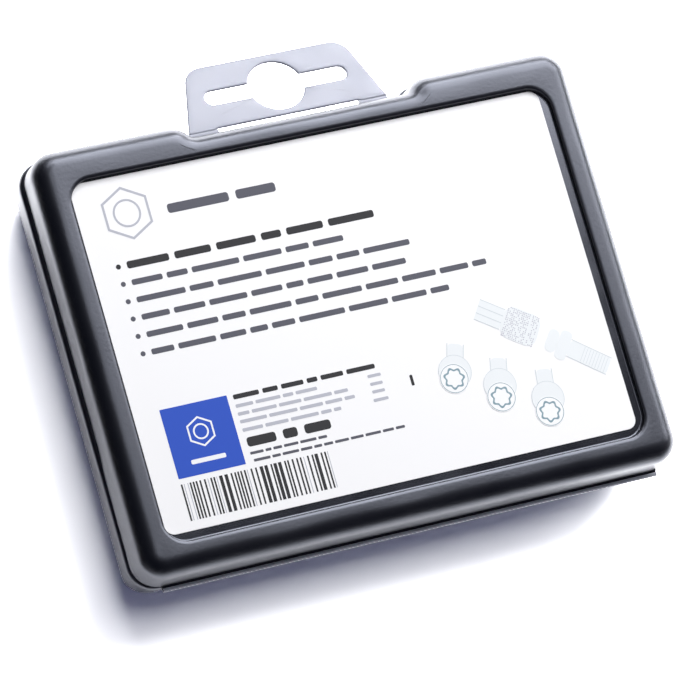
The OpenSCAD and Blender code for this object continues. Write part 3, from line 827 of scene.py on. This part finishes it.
def hang_tab(material):
    """The tab as a flat ring between its outline and the euro hole: its section, with two
    rounded edges, is carried round the hole, at equal steps along both edges."""
    fine = np.linspace(-np.pi / 2, 1.5 * np.pi, 6001)
    step = 0
    for outline in (tab_outline, euro_outline):
        step = step + np.linalg.norm(np.diff(polar(outline(fine), fine), axis=0), axis=1)
    total = np.concatenate([[0], np.cumsum(step)])
    angle = np.interp(np.linspace(0, total[-1], 561)[:-1], total, fine)
    outer, inner = polar(tab_outline(angle), angle), polar(euro_outline(angle), angle)
    edge_r, half_t = 0.4, tab_t / 2
    section = []
    for edge, from_deg in ((0, -90), (1, 90)):
        for a in arc_steps(from_deg, -from_deg, 7):
            middle_z = math.copysign(half_t - edge_r, a)
            section.append((edge, edge_r * (1 - math.cos(a)), middle_z + edge_r * math.sin(a)))
        face_z = math.copysign(half_t, -from_deg)
        section += [(abs(edge - share), edge_r, face_z) for share in (0.25, 0.5, 0.75)]
    rows = []
    for share, inset, z in section:
        outside = outer - outward_of(outer) * inset
        inside = inner + outward_of(inner) * inset
        rows.append(ring(outside * (1 - share) + inside * share, z))
    points = placed_tab(np.array(rows))
    faces = tube_faces(len(rows), len(angle), close_rows=True)
    piece = write_mesh("hang_tab_sheet", points, faces, material, "tab", sharp=50)
    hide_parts("hang_tab")


def placed_tab(points):
    """Turns points of the tab's own plane to its droop and puts its crease in place."""
    x, y, z = points[..., 0], points[..., 1], points[..., 2]
    turned_y = y * math.cos(tab_droop) + z * math.sin(tab_droop)
    turned_z = z * math.cos(tab_droop) - y * math.sin(tab_droop)
    return np.stack([x + tab_x, turned_y + crease_y, turned_z + crease_z], -1)


def tab_creases(material):
    """The two thin creases beside the slot: a flat strip that bends from the root's plane to
    the drooping tab's within its width."""
    reach, half_t, half_bend = 1.1, 0.22, 0.5
    y = np.linspace(-reach, reach, 13)
    section = [(place, half_t) for place in y] + [(place, -half_t) for place in y[::-1]]
    across = np.linspace(crease_slot_l / 2 + 0.1, tab_w / 2 - 0.3, 12)
    parts = []
    for side in (-1, 1):
        grid = carried(side * across, section)
        level = grid + (tab_x, crease_y, crease_z)
        share = smooth((grid[..., 1] + half_bend) / (2 * half_bend))[..., None]
        bent = level * (1 - share) + placed_tab(grid) * share
        faces = closed_tube(*grid.shape[:2])
        parts.append((bent.reshape(-1, 3), flipped(faces) if side > 0 else faces))
    points, faces = gathered(parts)
    piece = write_mesh("tab_creases", points, faces, material, None)
    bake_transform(piece)


# The label card and its plain print, in millimetres from the card's middle


def slab(outline, low_z, high_z):
    """Closed slab with this anticlockwise outline."""
    points = np.concatenate([ring(outline, low_z), ring(outline, high_z)])
    return points, closed_tube(2, len(outline))


def band(inner, outer, low_z, high_z):
    """Closed flat ring between two matching anticlockwise outlines."""
    rows = [ring(outer, low_z), ring(outer, high_z), ring(inner, high_z), ring(inner, low_z)]
    return np.concatenate(rows), tube_faces(4, len(inner), close_rows=True)


def rounded_bar(x, y, length, width, radius, tilt=0.0):
    """Outline of a rounded bar whose middle is at x, y, turned by tilt degrees."""
    corners = []
    for side_x, side_y, from_deg in ((1, -1, -90), (1, 1, 0), (-1, 1, 90), (-1, -1, 180)):
        middle_x, middle_y = side_x * (length / 2 - radius), side_y * (width / 2 - radius)
        corners += arc_line(middle_x, middle_y, radius, from_deg, from_deg + 90, 5)
    outline = np.array(corners)
    a = math.radians(tilt)
    return outline @ np.array([[math.cos(a), math.sin(a)], [-math.sin(a), math.cos(a)]]) + (x, y)


def regular(x, y, radius, sides, turn=0.0):
    """Outline of a regular polygon, or of a circle when it has many sides."""
    angle = np.radians(turn) + full_turn(sides)
    return np.stack([x + radius * np.cos(angle), y + radius * np.sin(angle)], 1)


def gathered(parts):
    """One mesh from several closed ones."""
    points, faces, start = [], [], 0
    for part_points, part_faces in parts:
        points.append(part_points)
        faces += [[start + n for n in face] for face in part_faces]
        start += len(part_points)
    return np.concatenate(points), faces


def words(draw, from_x, to_x, y, height, longest):
    """Plain bars in place of a line of words, with word-like lengths and gaps."""
    outlines, x = [], from_x
    while x < to_x - 1.5 * height:
        length = min(draw.uniform(0.35, 1) * longest, to_x - x)
        outlines.append(rounded_bar(x + length / 2, y, length, height, height * 0.3))
        x += length + height * 0.8
    return outlines


def print_on_card(name, material, shapes, layer=0):
    """Ink as a thin raised layer: shapes are outlines, or pairs of inner and outer outline.
    Later layers lie on earlier ones."""
    ink_z = card_high[2] + 0.03 + 0.012 * layer
    sunk_z = card_high[2] - 0.05
    parts = []
    for shape in shapes:
        if isinstance(shape, tuple):
            parts.append(band(*shape, sunk_z, ink_z))
        else:
            parts.append(slab(shape, sunk_z, ink_z))
    points, faces = gathered(parts)
    points[:, :2] += (card_mid_x, card_mid_y)
    write_mesh(name, points, faces, material, "lid", sharp=30)


def ring_pair(x, y, radius, width, sides=48, turn=0.0):
    """Inner and outer outline of a drawn ring or polygon."""
    radii = radius - width / 2, radius + width / 2
    return tuple(regular(x, y, r, sides, turn) for r in radii)


def label_card(material):
    """The card as a rounded plate with soft edges, replacing the plain CAD one."""
    half_x, half_y = (card_high[:2] - card_low[:2]) / 2
    low_z, high_z = card_low[2], card_high[2]
    card_r, edge = 3.0, 0.08
    layout = (np.linspace(-1, 1, 38), np.linspace(-1, 1, 27), 6)
    rings = []
    for inset, z in ((edge, low_z), (0, low_z + edge), (0, high_z - edge), (edge, high_z)):
        outline = loop(half_x - inset, half_y - inset, card_r - inset, card_mid_y, layout)
        rings.append(ring(outline + (card_mid_x, 0), z))
    points, faces = join_shell(np.array(rings), layout)
    piece = write_mesh("label_card_sheet", points, faces, material, "lid", sharp=30)
    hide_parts("label_card")


def card_print():
    """Plain fields, bars and generic outlines where the card is printed."""
    draw = np.random.default_rng(21)
    black = printing_ink("black ink", "16161d")
    grey = printing_ink("dark grey ink", "4f505c")
    pale = printing_ink("pale grey ink", "b4b6c1")
    blue = printing_ink("blue ink", "0d49bd")
    white = printing_ink("white ink", "f2f3f7")
    left = -66
    line_ends = (13.4, 2.2, 22.8, 18.9, 43.0, 29.5)
    line_y = np.linspace(26.3, 0.2, 6)
    bold, plain, small = [], [], []
    for number, (end, y) in enumerate(zip(line_ends, line_y)):
        row = bold if number == 0 else plain
        height = 2.2 if number == 0 else 1.7
        row.append(regular(left, y, 0.75, 20))
        row += words(draw, left + 2.6, end, y, height, 15)
    # Each row of words by its two ends, its place up the card, its height and its longest word
    bold += words(draw, -43.6, 1.5, -17.7, 1.4, 9)
    bold += words(draw, -43.3, -14, -31.3, 2.8, 11)
    bold.append(rounded_bar(10.3, -24.2, 0.9, 3.2, 0.3))
    bar_left, bar_right, bar_y, bar_h = -65.9, -19.0, -44.3, 10.8
    x = bar_left
    while x < bar_right - 1:
        width = draw.choice((0.22, 0.5, 0.5, 1.0))
        row = small if width < 0.3 else bold
        row.append(rounded_bar(x + width / 2, bar_y, width, bar_h, 0.04))
        x += width + draw.choice((0.42, 0.62, 0.9))
    print_on_card("print_black", black, bold)
    plain += words(draw, -47, -13.5, 40, 2.8, 20)
    plain += words(draw, -43.3, -19, -34.6, 0.8, 5)
    plain += words(draw, -42.8, 4.2, -36.8, 0.8, 6)
    print_on_card("print_dark_grey", grey, plain)
    for end, y in zip((-18.3, -9, -8, -13), (-20.4, -22.8, -25.1, -27.6)):
        small += words(draw, -43.6, end, y, 1.0, 9)
        small.append(rounded_bar(-0.5, y, draw.uniform(3.2, 4.8), 0.9, 0.3))
    nut_x, nut_y = -59.1, 41.2
    small.append(ring_pair(nut_x, nut_y, 7.6, 0.8, 6, 30))
    small.append(ring_pair(nut_x, nut_y, 3.9, 0.6))
    print_on_card("print_pale_grey", pale, small)
    field_x, field_y, field_w = -55.7, -27.0, 20.6
    print_on_card("print_blue", blue, [rounded_bar(field_x, field_y, field_w, field_w, 0.2)])
    emblem_y = field_y + 1.8
    on_field = [ring_pair(field_x, emblem_y, 4.2, 0.6, 6, 30)]
    on_field.append(ring_pair(field_x, emblem_y, 2.1, 0.5))
    on_field.append(rounded_bar(field_x, field_y - 6.4, 10.6, 1.3, 0.4))
    print_on_card("print_white", white, on_field, 1)
    bolt_drawings(draw)


def drawn_bar(start, end, width, radius=0.5):
    """Outline of a rounded bar from one place to another."""
    (from_x, from_y), (to_x, to_y) = start, end
    tilt = math.degrees(math.atan2(to_y - from_y, to_x - from_x))
    length = math.hypot(to_x - from_x, to_y - from_y)
    return rounded_bar((from_x + to_x) / 2, (from_y + to_y) / 2, length, width, radius, tilt)


def side_lines(start, end, width, line_w=0.22):
    """The two long edges of a drawn bar, as thin lines."""
    (from_x, from_y), (to_x, to_y) = start, end
    length = math.hypot(to_x - from_x, to_y - from_y)
    shift = np.array([from_y - to_y, to_x - from_x]) / length * width / 2
    lines = []
    for side in (-1, 1):
        near, far = np.array(start) + side * shift, np.array(end) + side * shift
        lines.append(drawn_bar(tuple(near), tuple(far), line_w, line_w / 3))
    return lines


def bolt_drawings(draw):
    """Faint drawings of three bolts seen from the head, the key and a lying bolt, as pale
    fills under thin lines."""
    shanks, edges, bodies, rims, faces, lobed_rings, specks = [], [], [], [], [], [], []
    shank_w, collar_r, face_r, hexagon_w, sleeve_w = 5.0, 5.1, 4.5, 6.4, 10.0
    angle = full_turn(84)
    circle = np.stack([np.cos(angle), np.sin(angle)], 1)
    heads = ((23.0, -26.5), (35.5, -34.8), (48.8, -42.1))
    collars = ((23.8, -24.6), (36.1, -31.3), (49.4, -38.1))
    tips = ((26.3, -16.6), (37.9, -23.4), (50.5, -29.5))
    for head, collar, tip in zip(heads, collars, tips):
        shanks.append(drawn_bar(collar, tip, shank_w, 1.5))
        edges += side_lines(collar, tip, shank_w)
        bodies.append(regular(*collar, collar_r, 48))
        rims.append(ring_pair(*collar, 5.0, 0.16))
        faces.append(regular(*head, face_r, 48))
        lobed_rings.append(ring_pair(*head, 4.2, 0.18))
        wave = circle * (2.75 + 0.32 * np.cos(lobe_count * angle))[:, None]
        lobed_rings.append((wave * 0.88 + head, wave * 1.1 + head))
    hexagon_end, sleeve_from, sleeve_to = (35.9, -8.0), (42.6, -12.6), (52.2, -18.9)
    shanks.append(drawn_bar(hexagon_end, sleeve_from, hexagon_w))
    for width in (hexagon_w, 2.2):
        edges += side_lines(hexagon_end, sleeve_from, width)
    bodies.append(drawn_bar(sleeve_from, sleeve_to, sleeve_w, 3.0))
    along = np.array(sleeve_to) - sleeve_from
    along /= np.linalg.norm(along)
    across = np.array([-along[1], along[0]])
    cell = 0.56
    for s in np.arange(-5.3, 5.4, cell):
        for t in np.arange(-4.5, 4.6, cell):
            if draw.random() > 0.72 or abs(s - 2.6) < cell / 2 or max(abs(s), abs(t) + 0.5) > 5:
                continue
            place = (47.4, -15.75) + s * along + t * across + draw.uniform(-0.06, 0.06, 2)
            specks.append(rounded_bar(*place, draw.uniform(0.28, 0.42), 0.3, 0.1, draw.uniform(0, 180)))
    neck, thread_end = (60.2, -25.0), (70.7, -33.0)
    shanks += [drawn_bar(neck, thread_end, 5.4, 1.2), drawn_bar((54.4, -20.9), (57.2, -22.9), 7.2, 1.6)]
    edges += side_lines(neck, thread_end, 5.4)
    bodies.append(drawn_bar((57.3, -22.9), (60.2, -25.0), 9.2, 1.4))
    for share in np.linspace(0.35, 0.92, 9):
        x, y = np.array(neck) * (1 - share) + np.array(thread_end) * share
        edges.append(rounded_bar(x, y, 0.12, 4.8, 0.05, -37))
    fill = printing_ink("faintest grey ink", "e8ecef")
    line = printing_ink("faint grey ink", "ccd3d8")
    print_on_card("print_drawn_shanks", fill, shanks)
    print_on_card("print_drawn_edges", line, edges, 1)
    print_on_card("print_drawn_bodies", fill, bodies, 2)
    print_on_card("print_drawn_rims", line, rims, 3)
    print_on_card("print_drawn_specks", printing_ink("speckled grey ink", "b9bac6"), specks, 3)
    print_on_card("print_drawn_faces", printing_ink("card white ink", "f3f4f6"), faces, 4)
    print_on_card("print_drawn_rings", printing_ink("teal grey ink", "7f9aa6"), lobed_rings, 5)


# The locking bolts and their key

# Centre drilling that a turned piece keeps in its end, as radii and depths
centre_drill = ((2.6, 0), (2.2, 0.6), (0.3, 0.9))
# Wavy line that the groove in a bolt's head and the ridge in the key share
lobe_count = 7
lobe_h = 0.9
lobed_r = 6.8


def lobes(angle, radius):
    """Closed wavy line: the radius plus a cosine wave with one crest for each lobe."""
    return radius + lobe_h * np.cos(lobe_count * angle)


def locking_bolt(number, material):
    """M14 x 1.5 wheel bolt turned about its axis: point, helical thread, shank, ball seat,
    collar and round head with the lobed groove in its face."""
    name = f"locking_bolt_{number}"
    low, high = box_of(name)
    spokes, pitch, thread_depth = 168, 1.5, 0.85
    angle = full_turn(spokes)
    thread_end, seat_end, collar_end = 26.5, 38.93, 41.43
    face = high[1] - low[1]
    collar_r, head_r, ball_r, edge = 13, 10.5, 14, 0.4
    point_r, point_edge = 5.4, 0.1
    rows = [(0.4, 0), (point_r, 0)]
    for s in np.arange(0.15, thread_end, pitch / 8):
        turn = s / pitch - angle / (2 * np.pi)
        wave = np.abs((turn % 1) * 2 - 1)
        runout = smooth((thread_end - s) / 1.5)
        cut = thread_depth * np.clip(1.25 - 1.5 * wave, 0, 1) * runout
        rows.append((np.minimum(shank_r - cut, point_r + point_edge + s), s))
    rows += [(shank_r, thread_end), (shank_r, shank_l)]
    ball_z = shank_l + math.sqrt(ball_r**2 - shank_r**2)
    for s in np.linspace(shank_l, seat_end, 12)[1:]:
        rows.append((math.sqrt(ball_r**2 - (ball_z - s) ** 2), s))
    rows += [(collar_r, seat_end + 0.05), (collar_r, collar_end - edge), (collar_r - edge, collar_end)]
    rows += [(head_r + 0.4, collar_end), (head_r, collar_end + 0.4), (head_r, face - 1)]
    rows += [(head_r - 0.3, face - 0.4), (head_r - 1, face)]
    groove_half_w, groove_depth, lead = 1.0, 5, 0.15
    for side in (1, -1):
        rim = lobes(angle, lobed_r + side * groove_half_w)
        steps = [(lead * 2, 0), (lead, 0), (0, lead), (0, groove_depth)]
        for out, drop in steps if side > 0 else steps[::-1]:
            rows.append((rim + side * out, face - drop))
    rows += [(radius, face - depth) for radius, depth in centre_drill]
    points, faces = turned(rows, spokes)
    lying = np.stack([points[..., 0], -points[..., 2], points[..., 1]], 2)
    lying += ((low[0] + high[0]) / 2, high[1], (low[2] + high[2]) / 2)
    piece_name = f"wheel_bolt_{number}"
    piece = write_mesh(piece_name, lying, faces, material, "base", sharp=35)
    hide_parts(name)


def key_adapter(material):
    """Key turned about its axis: socket with the lobed ridge, sleeve with a diamond knurl cut
    by two crossing helices, neck and chamfered hexagon."""
    low, high = box_of("key_adapter")
    spokes = 336
    angle = full_turn(spokes)
    sleeve_r, neck_l, hex_half = 13.5, 2, 8.5
    socket_r, socket_d, ridge_h, ridge_half_w = 10.7, 12, 4.8, 0.8
    length = high[0] - low[0]
    ridge = lobes(angle, lobed_r)
    ridge_in, ridge_out, ridge_top = ridge - ridge_half_w, ridge + ridge_half_w, socket_d - ridge_h
    rows = [(0.4, socket_d), (ridge_in, socket_d), (ridge_in, ridge_top)]
    rows += [(ridge_out, ridge_top), (ridge_out, socket_d)]
    rows += [(socket_r, socket_d), (socket_r, 0.5), (socket_r + 0.5, 0), (sleeve_r - 1, 0)]
    rows += [(sleeve_r - 0.3, 0.3), (sleeve_r, 1)]
    knurl_d, band_l, ridges = 0.45, 3, 56
    pitch = 2 * np.pi * sleeve_r / ridges
    for s in np.linspace(band_l, sleeve_l - band_l, 84):
        cross = [ridges * angle / (2 * np.pi) + side * s / pitch for side in (-1, 1)]
        height = np.minimum(*[1 - np.abs((turn % 1) * 2 - 1) for turn in cross])
        fade = smooth(min(s - band_l, sleeve_l - band_l - s) / 0.3)
        rows.append((sleeve_r - knurl_d * fade * (1 - np.minimum(height * 1.4, 1)), s))
    rows += [(sleeve_r, sleeve_l - 1), (sleeve_r - 0.3, sleeve_l - 0.3), (sleeve_r - 1, sleeve_l)]
    corner = np.pi / 3
    hexagon = hex_half / np.cos((angle % corner) - corner / 2)
    neck_r = hex_half / math.cos(corner / 2)
    neck_end, chamfer_steps = sleeve_l + neck_l, (0, 0.35, 0.7, 1.05)
    rows += [(neck_r, sleeve_l), (neck_r - 0.6, sleeve_l + 0.4), (neck_r - 0.6, neck_end)]
    for s in chamfer_steps:
        rows.append((np.minimum(hexagon, neck_r - 0.6 + s), neck_end + s))
    for s in chamfer_steps[::-1]:
        rows.append((np.minimum(hexagon, neck_r - 1 + s), length - s))
    rows += [(radius, length - depth) for radius, depth in centre_drill]
    points, faces = turned(rows, spokes)
    lying = np.stack([points[..., 2], points[..., 0], points[..., 1]], 2)
    lying += (low[0], (low[1] + high[1]) / 2, (low[2] + high[2]) / 2)
    piece = write_mesh("key_turned", lying, faces, material, "base", sharp=35)
    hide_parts("key_adapter")


# Floor, light and camera


def table():
    """Pale table: a wide plane just under the case, which keeps the case's shadow. The camera
    sees it white. Gloss shows it as a lit sheet that ends 40 mm left of the case, and weaker
    in front of the case."""
    reach = 4.0
    mesh = bpy.data.meshes.new("table")
    corners = [(-reach, -reach), (reach, -reach), (reach, reach), (-reach, reach)]
    mesh.from_pydata([(x, y, -0.0002) for x, y in corners], [], [(0, 1, 2, 3)])
    material = bpy.data.materials.new("white laminate table")
    tree = empty_tree(material)
    plain, white, in_sheet, front_share = 0.85, 4.8, 4.2, 0.35
    ray = add(tree, "ShaderNodeLightPath")
    place = add(tree, "ShaderNodeTexCoord")
    axes = add(tree, "ShaderNodeSeparateXYZ", links={0: place.outputs["Object"]})
    fades = []
    for axis, dark_at, lit_at, dark, lit in (
        ("X", -0.14, -0.105, -plain, in_sheet - plain),
        ("Y", -0.15, -0.09, front_share, 1.0),
    ):
        span = {"From Min": dark_at, "From Max": lit_at, "To Min": dark, "To Max": lit}
        fade = {"interpolation_type": "SMOOTHSTEP", **span}
        fades.append(add(tree, "ShaderNodeMapRange", fade, {"Value": axes.outputs[axis]}).outputs[0])
    part = {0: ray.outputs["Is Glossy Ray"], 1: fades[1]}
    in_front = add(tree, "ShaderNodeMath", {"operation": "MULTIPLY"}, part)
    glossy = {0: in_front.outputs[0], 1: fades[0]}
    in_gloss = add(tree, "ShaderNodeMath", {"operation": "MULTIPLY_ADD", 2: plain}, glossy)
    seen = {0: ray.outputs["Is Camera Ray"], 1: ray.outputs["Is Transmission Ray"]}
    direct = add(tree, "ShaderNodeMath", {"operation": "MAXIMUM"}, seen)
    lift = {0: direct.outputs[0], 2: in_gloss.outputs[0]}
    shown = add(tree, "ShaderNodeMath", {"operation": "MULTIPLY_ADD", 1: white - plain}, lift)
    paint = add(tree, "ShaderNodeBsdfDiffuse", links={"Color": shown.outputs[0]})
    add(tree, "ShaderNodeOutputMaterial", links={"Surface": paint.outputs[0]})
    mesh.materials.append(material)
    floor = in_scene("table", mesh)


def placed_at(place, right, up, back):
    """Matrix of an object at place with these axes."""
    return Matrix.Translation(place) @ Matrix((right, up, back)).transposed().to_4x4()


def softbox(name, place, size, radiance):
    """Rectangular studio softbox at place, in metres, that faces the case with its width along X."""
    lamp = bpy.data.lights.new(name, "AREA")
    lamp.shape = "RECTANGLE"
    lamp.size, lamp.size_y = size
    lamp.energy = radiance * math.pi * size[0] * size[1]
    away = Vector(place).normalized()
    across = Vector((0, 1, 0)).cross(away).normalized()
    in_scene(name, lamp).matrix_world = placed_at(place, across, away.cross(across), away)


def studio_light():
    """A wide softbox overhead towards the back right, a weak one straight above, a brighter
    low strip behind and one at the right, and a dim blue surround, which the camera sees as
    white."""
    softbox("overhead softbox", (0.78, 0.90, 1.10), (1.2, 1.25), 6.2)
    softbox("top fill", (-0.03, 0.26, 1.48), (0.6, 0.7), 1.9)
    softbox("back strip", (0.20, 0.80, 0.50), (1.0, 0.1), 12.0)
    softbox("right strip", (0.8, 0.2, 0.45), (0.25, 0.6), 5.0)
    world = bpy.data.worlds.new("dim surround")
    bpy.context.scene.world = world
    tree = empty_tree(world)
    ray = add(tree, "ShaderNodeLightPath")
    surround = add(tree, "ShaderNodeBackground", {"Color": (0.5, 0.52, 0.9, 1.0), "Strength": 0.045})
    white = add(tree, "ShaderNodeBackground", {"Color": (1.0, 1.0, 1.0, 1.0), "Strength": 1.0})
    links = {0: ray.outputs["Is Camera Ray"], 1: surround.outputs[0], 2: white.outputs[0]}
    mix = add(tree, "ShaderNodeMixShader", links=links)
    add(tree, "ShaderNodeOutputWorld", links={"Surface": mix.outputs[0]})


def photo_camera():
    """Long lens at the photograph's viewing angle, rolled as the photograph is. Its place in
    metres, its roll and its length are solved from the label card's corners."""
    place = Vector((-0.51111, -0.26227, 1.36680))
    target = Vector((-0.006487, -0.011599, 0.0343))
    roll = math.radians(-49.1628)
    forward = (target - place).normalized()
    level_right = forward.cross(Vector((0, 0, 1))).normalized()
    level_up = level_right.cross(forward)
    up = level_up * math.cos(roll) + level_right * math.sin(roll)
    right = forward.cross(up)
    lens = bpy.data.cameras.new("photo camera")
    lens.lens = 258.918
    lens.sensor_width = 36
    lens.clip_start = 0.05
    camera = in_scene("photo camera", lens)
    camera.matrix_world = placed_at(place, right, up, -forward)
    bpy.context.scene.camera = camera


case_black = black_polyethylene()
lid_shell(case_black)
base_shell(case_black)
hinge_web(folded_polyethylene())

tab_sheet = natural_polypropylene()
hang_tab(tab_sheet)
tab_creases(tab_sheet)
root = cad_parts["hang_tab_root"]
root.data.materials.clear()
root.data.materials.append(tab_sheet)

label_card(coated_card())
card_print()

bolt_finish = zinc_flake_steel()
for bolt in range(1, 5):
    locking_bolt(bolt, bolt_finish)
key_adapter(phosphated_steel())

table()
studio_light()
photo_camera()
bpy.context.scene.view_settings.view_transform = "Standard"
